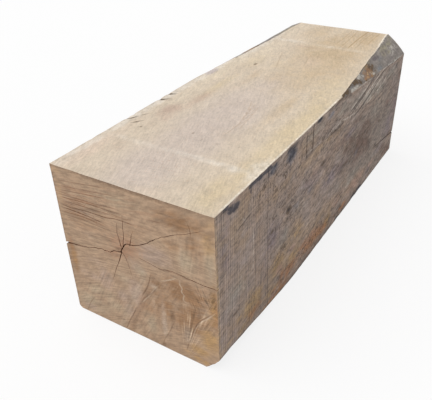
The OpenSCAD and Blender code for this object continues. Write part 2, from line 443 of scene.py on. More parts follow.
# Marks on the top, along the beam and across it from the left: patches are their middle, half sizes and
# strength, lines their points, width and strength.
topMarks = {
    "brown": (
        (252, 48, 34, 20, 0.95), (235, 40, 20, 10, 0.8), (225, 62, 30, 14, 0.5), (320, 67, 60, 14, 0.6),
        (205, 55, 40, 14, 0.35), (100, 54, 30, 18, 0.5), (440, 98, 60, 9, 0.3), (500, 95, 40, 8, 0.25),
        (690, 130, 7, 60, 0.4)),
    "spot": (
        (284, 6, 5, 4, 0.8), (313, 5, 5, 4, 0.8), (184, 26, 4, 3, 0.6), (171, 45, 4, 3, 0.8),
        (190, 8, 5, 4, 0.4), (535, 70, 7, 3, 1), (600, 93, 3, 2, 0.6), (620, 101, 4, 3, 0.4),
        (215, 86, 3, 2, 0.4), (193, 138, 4, 3, 0.55), (219, 130, 4, 3, 0.5), (188, 212, 4, 3, 0.6),
        (186, 229, 4, 3, 0.55), (164, 203, 4, 3, 0.5), (90, 115, 8, 4, 0.25), (85, 135, 8, 3, 0.2),
        (178, 163, 4, 3, 0.5), (179, 195, 4, 4, 0.5)),
    "pale": (
        (125, 200, 10, 120, 0.6), (125, 60, 10, 60, 0.5), (714, 190, 12, 80, 0.6), (30, 12, 60, 14, 0.5),
        (280, 6, 260, 12, 0.85), (70, 8, 90, 12, 0.7), (460, 8, 120, 14, 0.8), (660, 22, 130, 12, 0.9),
        (138, 289, 44, 10, 0.9), (150, 283, 24, 14, 0.9), (127, 280, 10, 12, 0.9), (716, 60, 11, 50, 0.7),
        (862, 150, 4, 150, 0.5), (122, 260, 11, 14, 0.9), (300, 30, 60, 6, 0.3)),
    "pink": (
        (250, 150, 230, 72, 1), (70, 140, 110, 70, 0.9), (440, 150, 90, 45, 0.7), (330, 95, 120, 30, 0.5)),
    "yellow": (
        (260, 281, 310, 28, 0.9), (50, 268, 80, 28, 0.8), (470, 262, 130, 24, 0.7), (390, 64, 90, 14, 0.6),
        (440, 34, 60, 14, 0.3), (560, 60, 80, 30, 0.5), (505, 245, 60, 26, 0.6)),
    "warm": (
        (670, 190, 230, 85, 1), (800, 215, 110, 50, 1), (530, 205, 130, 45, 0.7), (800, 108, 90, 46, 0.65),
        (500, 150, 66, 46, 0.5), (470, 100, 60, 16, 0.5), (355, 224, 110, 17, 0.6), (425, 212, 60, 24, 0.4),
        (560, 114, 50, 22, 0.5)),
    "light": (
        (500, 24, 140, 22, 0.9), (640, 50, 80, 30, 0.7), (330, 30, 90, 18, 0.6), (780, 40, 80, 20, 0.5)),
    "peach": (
        (70, 22, 80, 22, 0.9), (170, 24, 60, 14, 0.5), (600, 165, 60, 40, 0.5), (10, 180, 12, 60, 0.5)),
    "lilac": ((455, 10, 22, 9, 1),),
    "grit": (
        (70, 160, 90, 80, 1), (190, 150, 60, 100, 0.8), (40, 270, 60, 40, 0.8), (190, 60, 60, 40, 0.4),
        (300, 160, 90, 70, 0.4)),
    "nickLine": (
        (((277, -4), (282, 6), (287, 10), (297, 17)), 3, 1.4),
        (((308, -5), (313, 5), (316, 9), (323, 16)), 3, 1.4),
        (((180, -3), (188, 6), (198, 11), (208, 17)), 2.2, 1.1),
        (((205, 12), (212, 17), (224, 25)), 2, 0.9),
        (((172, 17), (183, 25), (196, 35)), 2.2, 1.1)),
    # painted highlights along the top's right edge: on the rubbed arris near the front, and where the wane
    # begins further back
    "rimHighlightLine": (
        (((10, 298), (90, 298), (150, 298), (300, 298), (420, 297), (470, 295)), 1.9, 0.75),
        (((440, 297), (480, 294), (528, 290), (573, 287), (632, 279), (676, 272), (724, 269),
          (770, 263)), 1.8, 0.3),
        (((735, 268), (774, 263), (820, 257), (880, 250)), 2.2, 0.9)),
    "grainLine": (
        (((725, 190), (790, 187), (870, 182)), 1.4, 0.5),
        (((718, 207), (790, 205), (870, 207)), 1.6, 0.9),
        (((730, 222), (800, 219), (870, 222)), 1.4, 0.5),
        (((740, 172), (800, 172), (870, 168)), 1.3, 0.4),
        (((760, 238), (820, 236), (870, 237)), 1.4, 0.5),
        (((210, 187), (260, 187), (300, 180), (350, 171)), 1.2, 0.4),
        (((240, 198), (300, 190), (345, 182)), 1.2, 0.3),
        (((540, 117), (590, 101), (640, 84)), 1.2, 0.4),
        (((270, 185), (320, 172), (360, 158)), 1.1, 0.4),
        (((560, 170), (610, 158), (650, 150)), 1.1, 0.3)),
}
# Marks on the sides, along the beam and up from the floor: soot and iron stains, knots, smears and rust,
# painted shade over the far part, and painted light low on the side, as from the floor.
sideMarks = {
    "stain": (
        (28, 297, 10, 4, 1), (42, 288, 10, 7, 1), (55, 285, 12, 7, 1), (62, 287, 6, 5, 0.8),
        (98, 296, 8, 5, 0.9), (112, 297, 20, 4, 1), (128, 295, 12, 4, 1), (150, 296, 20, 4, 1),
        (165, 292, 8, 5, 0.6), (178, 291, 10, 5, 0.7), (162, 286, 12, 8, 0.6), (174, 281, 6, 9, 0.5),
        (100, 286, 4, 8, 0.6), (228, 292, 13, 7, 0.9), (240, 284, 12, 12, 0.9), (230, 276, 8, 10, 0.8),
        (250, 293, 8, 6, 0.6), (233, 263, 4, 12, 0.6), (255, 281, 5, 7, 0.5), (348, 296, 12, 4, 1),
        (420, 293, 10, 3, 0.6), (590, 5, 20, 7, 1), (625, 6, 22, 7, 1), (234, 175, 5, 4, 0.8),
        (490, 4, 14, 4, 0.8), (545, 2, 20, 3, 0.6), (300, 3, 40, 3, 0.5), (180, 8, 30, 5, 0.4)),
    "slate": (
        (236, 280, 22, 16, 0.9), (400, 284, 22, 8, 0.7), (45, 291, 24, 7, 0.3), (125, 292, 40, 7, 0.5),
        (172, 288, 22, 10, 0.7), (18, 60, 6, 10, 0.3), (575, 125, 18, 12, 0.5), (15, 250, 7, 60, 0.2),
        (265, 165, 30, 12, 0.4), (320, 165, 25, 10, 0.4)),
    "brown": (
        (234, 175, 9, 7, 2), (243, 172, 9, 3, 0.9), (380, 194, 12, 6, 0.9), (395, 199, 12, 3, 0.6),
        (455, 187, 12, 5, 0.6), (213, 107, 6, 5, 0.9), (225, 105, 6, 5, 0.8), (218, 113, 5, 3, 0.6),
        (52, 87, 14, 3.5, 0.9), (68, 88, 16, 2.5, 0.5), (160, 160, 4, 4, 0.9), (172, 167, 8, 4, 0.8),
        (190, 164, 10, 4, 0.5), (165, 149, 10, 4, 0.6), (180, 150, 10, 4, 0.7), (171, 137, 4, 3, 0.7),
        (140, 268, 6, 3, 0.9), (137, 258, 3, 2, 0.9), (170, 277, 4, 2.5, 0.8), (208, 256, 5, 3, 0.9),
        (216, 250, 4, 5, 0.9), (200, 279, 3, 4, 0.5), (182, 242, 5, 4, 0.6), (370, 250, 10, 5, 0.9),
        (405, 251, 8, 3, 0.6), (430, 239, 14, 3, 0.8), (465, 244, 10, 3, 0.7), (295, 257, 4, 4, 0.8),
        (297, 249, 4, 3, 0.8), (322, 254, 4, 4, 0.9), (327, 260, 5, 4, 0.8), (293, 282, 3, 6, 0.6),
        (590, 216, 25, 4, 0.6), (725, 139, 9, 4, 0.8), (735, 135, 6, 4, 0.7), (600, 155, 14, 5, 0.6),
        (720, 80, 16, 4, 0.7), (400, 297, 25, 3, 0.7), (440, 296, 25, 4, 1), (472, 294, 20, 5, 1),
        (510, 165, 14, 6, 0.5), (185, 58, 20, 3, 0.5), (205, 60, 10, 3, 0.5), (135, 152, 14, 3, 0.5),
        (150, 208, 6, 3, 0.6), (92, 232, 4, 3, 0.7), (30, 146, 14, 3, 0.4), (175, 210, 8, 3, 0.5),
        (760, 226, 16, 4, 0.6), (860, 218, 18, 6, 0.7), (505, 130, 20, 6, 0.6), (537, 121, 12, 6, 0.6),
        (820, 85, 25, 3, 0.5), (780, 30, 30, 6, 0.5)),
    # painted shade that darkens the far part of the side
    "paintedShade": (
        (720, 130, 190, 150, 0.9), (560, 150, 110, 90, 0.6), (820, 230, 80, 60, 0.4), (520, 264, 60, 16, 1)),
    "smear": (
        (600, 138, 85, 46, 0.85), (630, 128, 45, 22, 0.8), (578, 126, 30, 20, 0.6), (530, 165, 50, 26, 0.75),
        (490, 130, 46, 36, 0.45), (620, 172, 45, 16, 0.6), (515, 130, 30, 12, 0.6), (660, 105, 40, 18, 0.6),
        (835, 160, 60, 120, 0.4), (560, 208, 60, 10, 0.5), (790, 40, 40, 16, 0.5), (770, 214, 60, 9, 0.4),
        (860, 215, 25, 12, 0.8), (850, 60, 40, 8, 0.5), (490, 20, 40, 10, 0.6), (720, 262, 60, 7, 0.5),
        (860, 140, 12, 90, 0.5), (700, 150, 60, 40, 0.4), (430, 200, 60, 20, 0.45), (482, 200, 44, 24, 0.5),
        (625, 211, 30, 9, 0.42), (400, 190, 50, 18, 0.5), (775, 165, 35, 18, 0.6), (600, 113, 40, 13, 0.4),
        (300, 6, 190, 7, 0.65), (600, 4, 240, 6, 0.5), (228, 12, 34, 9, 0.6), (825, 18, 50, 16, 0.8),
        (525, 9, 26, 9, 0.8)),
    "rust": (
        (112, 40, 36, 16, 0.6), (185, 12, 70, 10, 0.7), (215, 36, 16, 18, 0.9), (250, 35, 40, 16, 0.8),
        (350, 36, 55, 20, 1), (400, 25, 40, 12, 0.9), (312, 45, 30, 14, 0.8), (520, 18, 30, 8, 0.7),
        (187, 25, 14, 12, 0.6), (465, 22, 30, 8, 0.5)),
    "ochre": (
        (35, 38, 34, 13, 0.5), (78, 36, 40, 13, 0.7), (175, 36, 40, 15, 0.7), (110, 62, 42, 34, 0.85),
        (60, 66, 34, 20, 0.5), (430, 32, 22, 18, 1), (265, 55, 35, 22, 0.8), (345, 242, 20, 8, 0.5),
        (200, 84, 36, 26, 0.8), (275, 100, 44, 22, 0.6), (170, 12, 80, 12, 0.5), (390, 238, 60, 6, 0.5),
        (2, 150, 3.5, 200, 0.8)),
    "pink": (
        (205, 66, 14, 12, 0.8), (258, 76, 18, 9, 0.8), (186, 21, 12, 8, 0.9), (340, 46, 60, 10, 0.5),
        # the patch at 600 along and 40 up is painted light, as bounced from the floor onto the low side
        (485, 50, 36, 9, 0.7), (600, 40, 66, 18, 0.8), (700, 38, 50, 14, 0.6), (485, 62, 44, 10, 0.6),
        (340, 190, 50, 16, 0.4), (120, 230, 40, 10, 0.3)),
    "tan": (
        (80, 266, 26, 28, 1), (305, 274, 46, 20, 0.9), (450, 62, 50, 14, 0.9), (78, 215, 26, 34, 0.6),
        # the patch at 590 along and 42 up is painted light, as bounced from the floor onto the low side
        (76, 140, 28, 60, 0.4), (178, 72, 28, 24, 0.7), (590, 42, 80, 20, 0.8), (440, 64, 60, 10, 0.7),
        (220, 75, 50, 40, 0.7), (380, 62, 90, 34, 0.7), (56, 248, 60, 30, 0.85), (200, 236, 120, 20, 0.6),
        (330, 233, 120, 18, 0.7), (460, 228, 70, 12, 0.5), (300, 78, 70, 25, 0.6), (480, 52, 60, 10, 0.6),
        (110, 118, 40, 20, 0.4), (252, 116, 56, 20, 0.7), (420, 72, 70, 14, 0.5), (150, 268, 60, 10, 0.5),
        (640, 45, 50, 12, 0.4)),
    "violet": (
        (25, 225, 20, 60, 0.5), (65, 185, 60, 50, 0.25), (147, 105, 18, 70, 0.4), (175, 158, 30, 30, 0.8),
        (830, 150, 80, 110, 0.35), (330, 182, 60, 22, 0.5), (432, 145, 46, 22, 0.9), (485, 135, 40, 15, 0.6),
        (525, 195, 46, 14, 0.6), (790, 245, 60, 18, 0.5), (820, 95, 56, 40, 0.7), (745, 52, 50, 14, 0.6),
        (682, 25, 22, 16, 0.7), (850, 140, 34, 60, 0.6), (300, 280, 16, 10, 0.3), (215, 275, 20, 14, 0.3)),
    "grey": (
        (330, 278, 60, 12, 0.6), (460, 274, 60, 18, 0.6), (560, 258, 80, 20, 0.4), (640, 242, 70, 16, 0.8),
        (700, 226, 60, 14, 0.7), (782, 240, 45, 16, 0.8), (60, 130, 50, 30, 0.5), (222, 125, 40, 25, 0.5),
        (560, 72, 60, 22, 0.6), (712, 45, 45, 18, 0.6), (690, 182, 50, 30, 0.5), (280, 150, 50, 30, 0.4),
        (480, 92, 40, 14, 0.4)),
    "fan": (
        (530, 244, 50, 13, 1), (590, 252, 50, 15, 1), (650, 258, 50, 15, 1), (700, 262, 40, 12, 0.7),
        (430, 246, 50, 8, 0.6), (780, 244, 70, 16, 0.25)),
    "near": ((0, 150, 120, 260, 1), (110, 150, 110, 260, 0.9)),
    "dirt": (
        (170, 265, 105, 35, 1), (300, 255, 90, 32, 0.65), (230, 180, 130, 70, 0.8), (430, 250, 110, 30, 0.9),
        (200, 100, 90, 40, 0.7), (600, 150, 120, 60, 0.8), (340, 38, 150, 26, 1), (150, 60, 110, 40, 0.5),
        (790, 235, 80, 40, 0.5)),
    "darkLine": (
        (((154, 250), (155, 215), (157, 170), (159, 110), (161, 50), (161, -12)), 1.4, 0.8),
        (((152, 310), (153, 280), (154, 236)), 1.4, 0.8),
        (((135, 112), (135, 15)), 2, 0.2),
        (((26, 228), (26, 186)), 1.2, 0.6),
        (((17, 310), (18, 60)), 1.4, 0.35),
        (((50, 239), (75, 244), (92, 247), (108, 251)), 1.4, 1),
        (((112, 252), (138, 257)), 1.2, 0.6),
        (((170, 267), (185, 273), (198, 280)), 1.3, 0.7),
        (((110, 206), (130, 208), (150, 213)), 1.2, 0.6),
        (((640, 261), (676, 262), (714, 267), (750, 267), (781, 264), (830, 258)), 2.2, 0.7),
        (((321, 308), (321, 288), (321, 274), (323, 246)), 2.8, 1.6),
        (((295, 298), (295, 272), (297, 236)), 2, 0.9),
        (((371, 245), (435, 240), (470, 246)), 1.6, 0.7),
        (((398, 248), (411, 253), (435, 256)), 1.8, 0.6),
        (((600, 228), (622, 222), (658, 216), (687, 216), (715, 219), (743, 226), (782, 234)), 2, 0.5),
        (((735, 222), (770, 228), (830, 250)), 2, 0.25),
        (((-14, 31), (31, 27), (97, 20), (146, 14), (212, 7), (285, 2), (400, 1), (600, 1),
          (880, 1)), 2, 0.7)),
    "fanLine": (
        (((530, 228), (558, 230), (587, 235), (612, 240), (636, 247), (662, 253), (688, 260),
          (722, 270)), 2, 0.9),
        (((500, 246), (547, 253), (571, 257), (595, 262), (615, 267), (645, 275)), 2, 0.75),
        (((205, 130), (208, 70)), 1.6, 0.4),
        (((330, 295), (346, 296), (364, 297)), 2.6, 1.7),
        (((418, 234), (442, 237), (460, 240), (480, 245)), 1.6, 0.6),
        (((690, 203), (728, 206), (774, 204)), 2.4, 0.4)),
    "fanPaleLine": (
        (((525, 240), (570, 247), (603, 253), (632, 258), (667, 266), (690, 272)), 2.2, 0.7),
        (((570, 227), (612, 234), (650, 243), (690, 254), (730, 262)), 2.2, 0.55)),
    "paleLine": (
        (((430, 247), (462, 246), (490, 241), (519, 236), (548, 233)), 2, 0.6),
        (((505, 251), (538, 257), (557, 261), (586, 266), (631, 276)), 2, 0.6),
        (((615, 226), (661, 231), (689, 234), (717, 239), (760, 250)), 2.4, 0.45),
        (((108, 216), (108, 128)), 1.4, 0.4),
        (((690, 270), (720, 273), (780, 270), (870, 263)), 2.6, 0.9),
        (((500, 291), (560, 285), (640, 279)), 2, 0.6),
        (((70, 258), (80, 248), (88, 240)), 1.2, 0.5),
        (((424, 243), (441, 246), (462, 251)), 2, 0.8),
        (((300, 252), (340, 250), (360, 246)), 1.5, 0.5)),
}
# Marks on the ends, across from the left and up from the floor.
endMarks = {
    "brown": (
        (240, 140, 46, 24, 1), (200, 95, 36, 40, 0.7), (250, 95, 36, 36, 0.9), (12, 122, 9, 36, 0.9),
        (294, 130, 10, 50, 0.8), (232, 70, 20, 26, 0.7), (165, 80, 24, 26, 0.5), (262, 235, 22, 24, 0.6),
        (242, 270, 50, 22, 0.75), (195, 135, 18, 16, 0.6), (290, 190, 12, 40, 0.25), (225, 225, 22, 18, 0.5),
        (60, 215, 70, 30, 0.4), (150, 218, 30, 18, 0.4)),
    "pink": (
        (190, 192, 34, 20, 1), (142, 98, 18, 34, 0.9), (122, 55, 16, 26, 0.7), (150, 160, 20, 20, 0.6),
        (78, 100, 20, 26, 0.8), (50, 95, 40, 14, 0.5), (118, 78, 26, 18, 0.7), (195, 80, 7, 50, 0.6),
        (128, 55, 16, 20, 0.5), (60, 130, 40, 14, 0.4), (28, 15, 20, 12, 0.6)),
    "olive": (
        (156, 150, 14, 12, 0.9), (168, 45, 14, 26, 0.8), (60, 62, 40, 20, 0.6), (130, 272, 40, 14, 0.6),
        (248, 205, 20, 34, 0.6), (290, 210, 14, 36, 0.6), (95, 45, 40, 18, 0.5), (45, 28, 50, 26, 0.7),
        (150, 20, 24, 14, 0.4), (120, 118, 18, 14, 0.5)),
    "ochre": (
        (284, 62, 18, 26, 1), (288, 250, 14, 26, 0.6), (288, 110, 12, 24, 0.5), (258, 10, 10, 6, 0.8),
        (274, 8, 8, 6, 0.8), (262, 30, 22, 12, 0.9), (240, 14, 14, 8, 0.5), (13, 122, 7, 34, 0.5),
        (293, 130, 12, 46, 0.6), (292, 285, 12, 14, 0.5), (10, 255, 6, 40, 0.4), (12, 290, 16, 8, 0.4)),
    # the long band along the top edge, at 298 up, is painted shade under the top arris
    "dark": (
        (262, 246, 6, 16, 0.6), (191, 5, 6, 7, 0.9), (238, 28, 9, 5, 0.6), (247, 33, 6, 5, 0.5),
        (150, 298, 170, 6, 0.9), (120, 176, 10, 8, 0.5), (240, 158, 24, 5, 0.4), (212, 80, 4, 12, 0.6),
        (3, 110, 4, 60, 0.5), (82, 110, 8, 8, 0.4), (110, 108, 8, 10, 0.4), (150, 2, 150, 3, 0.35)),
    # shadeLine and the shade patches are painted shade, mostly just right of the brown triangle's left edge,
    # and the line just left of that edge is painted light: the end's mesh has no step there
    "shadeLine": ((((190, 160), (179, 126), (161, 92), (145, 60), (129, 25), (115, -12)), 7, 0.6),),
    "litLine": ((((168, 160), (158, 126), (140, 92), (124, 60), (108, 25), (94, -12)), 6, 0.6),),
    "shade": ((182, 143, 6, 16, 0.6), (214, 82, 5, 14, 0.7), (250, 78, 4, 16, 0.6), (216, 150, 20, 6, 0.5)),
    "light": (
        (58, 226, 36, 11, 0.5), (134, 197, 5, 3, 0.9), (121, 206, 3, 5, 0.6), (196, 62, 6, 50, 0.8),
        (240, 52, 9, 26, 0.7), (178, 95, 4, 30, 0.5), (244, 55, 5, 26, 0.7), (205, 40, 5, 24, 0.4),
        (182, 128, 10, 8, 0.6), (62, 185, 26, 10, 0.4), (240, 210, 5, 30, 0.4), (268, 215, 5, 30, 0.4),
        (290, 200, 4, 30, 0.4), (55, 40, 8, 20, 0.3)),
    "level": (
        (60, 248, 90, 36, 0.95), (40, 205, 60, 20, 0.6), (150, 274, 80, 18, 0.7), (150, 240, 26, 8, 0.6)),
    "left": ((60, 100, 80, 120, 1), (30, 40, 60, 60, 0.8)),
    "upright": ((260, 220, 40, 50, 1), (205, 60, 26, 50, 1), (180, 90, 20, 40, 0.5)),
    "steep": (
        (80, 95, 30, 30, 0.9), (112, 60, 34, 40, 0.9), (45, 50, 40, 34, 0.5), (165, 90, 30, 50, 1),
        (150, 40, 30, 40, 0.9), (215, 130, 26, 26, 0.8), (190, 140, 14, 14, 0.7)),
    "brush": ((246, 66, 16, 42, 1), (268, 100, 18, 22, 0.9)),
    "hatch": ((274, 148, 13, 24, 1), (262, 125, 16, 16, 0.5)),
    "rise": ((292, 138, 9, 24, 1), (286, 96, 16, 26, 0.6)),
    "red": (
        (128, 178, 14, 14, 1), (132, 190, 38, 26, 0.75), (143, 200, 16, 9, 0.8), (106, 166, 24, 14, 0.6),
        (40, 228, 50, 16, 0.4), (12, 150, 6, 20, 0.7), (296, 120, 6, 40, 0.5)),
    "darkLine": (
        (((4, 227), (30, 227), (66, 231), (101, 232), (120, 236), (158, 237)), 1.1, 1),
        (((3, 213), (50, 216), (100, 214)), 1, 0.8),
        (((254, 278), (259, 262), (258, 248)), 1.1, 0.9),
        (((6, 241), (60, 246), (140, 249)), 1, 0.7),
        (((6, 254), (60, 262), (110, 269)), 1, 0.7),
        (((8, 272), (60, 280), (110, 287)), 1, 0.5),
        (((180, 158), (170, 125), (152, 92)), 1.3, 0.7),
        (((140, 66), (130, 44), (120, 25), (106, -6)), 1.3, 0.6),
        (((46, 46), (30, 24), (16, -4)), 1.2, 0.45),
        (((218, 74), (203, 38), (193, 19), (186, -6)), 1.2, 0.45),
        (((210, 72), (213, 82), (217, 94)), 1.6, 0.8),
        (((236, 15), (246, 46), (256, 76), (268, 98), (290, 122)), 1.3, 0.8),
        (((198, 172), (226, 173), (262, 172)), 1.1, 0.5),
        (((60, 184), (90, 188)), 1, 0.4)),
    "fineLine": (
        (((4, 221), (40, 222), (75, 221), (100, 218)), 1, 1),
        (((6, 234), (60, 238), (120, 241)), 1, 0.8),
        (((8, 246), (80, 251), (130, 256)), 1, 0.7),
        (((-5, 206), (50, 210), (112, 208)), 1, 0.45),
        (((250, 262), (262, 258), (268, 262)), 1.1, 0.5),
        (((272, 267), (286, 274)), 1.1, 0.7),
        (((8, 262), (70, 271), (130, 280)), 1, 0.6),
        (((180, 258), (200, 258), (215, 262)), 1.1, 0.4),
        (((155, 90), (176, 112), (190, 132)), 1.1, 0.5)),
    "paleLine": (
        (((196, 146), (214, 156), (230, 167)), 1.5, 0.7),
        (((150, 78), (170, 104), (186, 128), (194, 138)), 1.3, 0.6),
        (((228, 167), (234, 164), (233, 156), (237, 149), (235, 142), (240, 136), (237, 129), (241, 124),
          (248, 125)), 1.3, 0.7),
        (((242, 30), (252, 62), (262, 88), (280, 108), (296, 128)), 1.3, 0.6),
        (((250, 50), (256, 72), (266, 92)), 1.2, 0.6)),
}
# Marks on the wane, along the beam and across the wane from the top (-1) to the side (1).
waneMarks = {
    "tan": ((438, 0, 16, 2, 1), (520, 0.8, 40, 0.5, 0.5)),
    "bark": (
        (470, -0.3, 24, 1.3, 1), (490, 0.1, 14, 1, 1), (505, -0.7, 18, 0.4, 0.9), (538, -0.4, 20, 0.7, 1),
        (552, 0, 14, 0.5, 1), (562, 0.5, 12, 0.4, 0.7), (590, 0.9, 24, 0.2, 0.6), (655, 0.1, 12, 0.6, 0.8),
        (648, 0.85, 18, 0.15, 0.7), (646, -0.45, 12, 0.35, 0.9), (662, -0.2, 12, 0.3, 0.6),
        (520, -0.97, 60, 0.2, 1), (440, -0.5, 25, 1, 0.8), (610, -0.97, 50, 0.12, 0.9),
        (690, -0.97, 40, 0.08, 0.5)),
    "pale": (
        (512, 0.6, 14, 0.5, 0.9), (527, 0.5, 18, 0.4, 1), (572, -0.6, 14, 0.5, 1), (582, -0.2, 12, 0.35, 1),
        (645, 0.6, 10, 0.2, 0.9), (632, 0.3, 8, 0.2, 0.5), (785, 0.95, 60, 0.1, 1),
        (770, -1.02, 120, 0.1, 0.8), (690, 0.9, 24, 0.08, 0.5), (815, 0.1, 45, 0.5, 0.5)),
    "rust": (
        (628, -0.1, 24, 0.8, 1), (608, 0.2, 22, 0.8, 0.9), (622, 0.7, 26, 0.3, 0.9),
        (598, 0.5, 16, 0.5, 0.8), (642, 0.2, 14, 0.4, 0.9)),
    "straw": (
        (636, 0.35, 10, 0.25, 0.9), (618, 0.1, 8, 0.2, 0.7), (644, 0.7, 10, 0.15, 0.8),
        (606, 0.5, 8, 0.2, 0.5)),
    "ochre": ((630, -0.75, 20, 0.25, 0.8), (612, -0.6, 16, 0.2, 0.5), (660, -0.85, 12, 0.2, 0.5)),
    "violet": (
        (700, -0.6, 16, 0.3, 0.9), (712, -0.4, 14, 0.2, 0.7), (690, -0.8, 14, 0.15, 0.6),
        (735, 1, 60, 0.12, 0.7), (770, 0.5, 40, 0.35, 0.4), (830, 0.4, 30, 0.4, 0.35),
        (740, -0.9, 40, 0.12, 0.6), (760, -0.3, 12, 0.3, 0.5)),
    "blue": ((718, -0.1, 22, 0.4, 0.4), (690, 0.6, 22, 0.4, 0.7), (518, -0.4, 14, 0.6, 0.7)),
    "green": (
        (775, -0.6, 28, 0.35, 0.9), (760, -0.2, 24, 0.3, 0.6), (820, -0.5, 30, 0.3, 0.7),
        (790, 0, 20, 0.2, 0.6), (850, -0.7, 20, 0.2, 0.6)),
}
markEdges = {
    "right": 139, "left": -146,  # where the two sides begin, from the middle
    "leftShare": 0.5,            # how far the hidden left side is marked
    "lowerStretch": 1.5,         # the lower wane takes the marks of the upper one, this much shorter
}
upper = z > beam["depth"] / 2
leftMask = np.where(x < markEdges["left"], markEdges["leftShare"], 0)
sideMask = np.where(x > markEdges["right"], 1, leftMask)
# the far end's marks go with its heart
shiftAcross, shiftUp = np.subtract(beam["heartFar"], beam["heartNear"])
endAcross, endUp = np.where(y < 0, over, over - shiftAcross), np.where(y < 0, z, z - shiftUp)
# across the wane: the depth below the one face less that from the other, each as a share of the width lost
# there, which is a millimetre more than the wane's, so that it is never nothing
reachY = np.where(upper, along, beam["length"] - along * markEdges["lowerStretch"])
lost = [np.interp(reachY, *wane["topRight"][face]) + 1 for face in ("before", "after")]
waneAcross = np.where(upper, beam["depth"] - z, z) / lost[1] - (halfWidth - np.abs(x)) / lost[0]
everywhere = np.ones(len(x))
setMarks("top", along, over, topMarks, np.where(upper, 1, 0))
setMarks("side", np.where(x > 0, along, beam["length"] - along), z, sideMarks, sideMask)
setMarks("end", endAcross, endUp, endMarks, everywhere)
setMarks("wane", reachY, waneAcross, waneMarks, everywhere)
print("marks set:", len(oakBeam.data.attributes), "attributes")


# An sRGB hex colour in linear light, by the curve of sRGB.
def hexColour(text):
    value = np.array([int(text[i:i + 2], 16) for i in (1, 3, 5)]) / 255
    linear = np.where(value <= 0.04045, value / 12.92, ((value + 0.055) / 1.055) ** 2.4)
    return (*linear.tolist(), 1)


# Adds a shader node with its settings, links or sets its inputs, and gives the output asked for.
def node(tree, kind, inputs=None, out=0, **settings):
    made = tree.nodes.new("ShaderNode" + kind)
    for name, value in settings.items():
        setattr(made, name, value)
    for name, value in (inputs or {}).items():
        if isinstance(value, bpy.types.NodeSocket):
            tree.links.new(value, made.inputs[name])
        else:
            made.inputs[name].default_value = value
    return made.outputs[out]


# Noise whose blotches have the given sizes in millimetres along turned axes, spread to run from 0 to 1, and
# stirred where they shall not lie in rows.
def blotches(tree, place, size, turn=(0, 0, 0), detail=2.0, spread=0.18, stir=0.0):
    turned, metres = [math.radians(t) for t in turn], [n / 1000 for n in size]
    stretched = node(tree, "Mapping", {"Vector": place, "Rotation": turned, "Scale": metres},
                     vector_type="TEXTURE")
    noise = node(tree, "TexNoise", {"Vector": stretched, "Scale": 1.0, "Detail": detail, "Roughness": 0.55,
                                    "Distortion": stir}, out="Fac")
    return node(tree, "MapRange", {"Value": noise, "From Min": 0.5 - spread, "From Max": 0.5 + spread})


waveBand = {"scale": 0.314, "swayScale": 3.18}  # scales at which a wave and its sway repeat once in a pitch


# Parallel saw ripples with a pitch in millimetres along an axis of the turned frame, swaying by a number of
# pitches over a distance in millimetres.
def ripples(tree, place, axis, pitch, turn, sway, over):
    turned, metres = [math.radians(t) for t in turn], [pitch / 1000] * 3
    scaled = node(tree, "Mapping", {"Vector": place, "Rotation": turned, "Scale": metres},
                  vector_type="TEXTURE")
    return node(tree, "TexWave", {"Vector": scaled, "Scale": waveBand["scale"],
                                  "Distortion": sway * 2 * math.pi, "Detail": 1.5,
                                  "Detail Scale": waveBand["swayScale"] * pitch / over,
                                  "Detail Roughness": 0.5}, out="Fac", bands_direction=axis)


# A listed mark with a torn edge: its field times a pattern, cut softly between two levels.
def tornMark(tree, name, pattern, low=0.1, high=0.9, torn=1.0):
    field = node(tree, "Attribute", out="Fac", attribute_name=name)
    gain = node(tree, "MapRange", {"Value": pattern, "To Min": 1 - torn / 2, "To Max": 1 + torn / 2})
    rough = node(tree, "Math", {0: field, 1: gain}, operation="MULTIPLY")
    return node(tree, "MapRange", {"Value": rough, "From Min": low, "From Max": high},
                interpolation_type="SMOOTHSTEP")


# a line's soft edge in widths, and its least and most strength where a pattern breaks it
lineLook = {"edge": 1.3, "core": 0.4, "faint": 0.55, "bold": 1.25}


# A listed thin line, broken up by a pattern.
def thinLine(tree, name, pattern):
    offset = node(tree, "Attribute", out="Fac", attribute_name=name)
    away = node(tree, "Math", {0: offset}, operation="ABSOLUTE")
    core = node(tree, "MapRange", {"Value": away, "From Min": lineLook["edge"], "From Max": lineLook["core"]},
                interpolation_type="SMOOTHSTEP")
    power = node(tree, "Attribute", out="Fac", attribute_name=name + "On")
    gain = node(tree, "MapRange", {"Value": pattern, "To Min": lineLook["faint"], "To Max": lineLook["bold"]})
    broken = node(tree, "Math", {0: power, 1: gain}, operation="MULTIPLY")
    return node(tree, "Math", {0: core, 1: broken}, operation="MULTIPLY", use_clamp=True)


# Only the highest part of a pattern, inside a given field: separate specks or dashes.
def peaks(tree, pattern, level, field, soft=0.2):
    top = node(tree, "MapRange", {"Value": pattern, "From Min": level, "From Max": level + soft},
               interpolation_type="SMOOTHSTEP")
    return node(tree, "Math", {0: top, 1: field}, operation="MULTIPLY", use_clamp=True)


# Coats over a base colour. A coat is a mask, its share and its colour, or a listed mark of the face: its
# name, the pattern that tears it, its share, its colour and, for a patch, the levels of its cut and how far
# it is torn.
def coated(tree, face, base, coats):
    colour = hexColour(base)
    for coat in coats:
        if isinstance(coat[0], str):
            name, pattern, share, hexText, *cut = coat
            draw = thinLine if name.endswith("Line") else tornMark
            mask = draw(tree, face + "_" + name, pattern, *cut)
        else:
            mask, share, hexText = coat
        cover = node(tree, "Math", {0: mask, 1: share}, operation="MULTIPLY", use_clamp=True)
        colour = node(tree, "Mix", {0: cover, 6: colour, 7: hexColour(hexText)}, out=2, data_type="RGBA")
    return colour


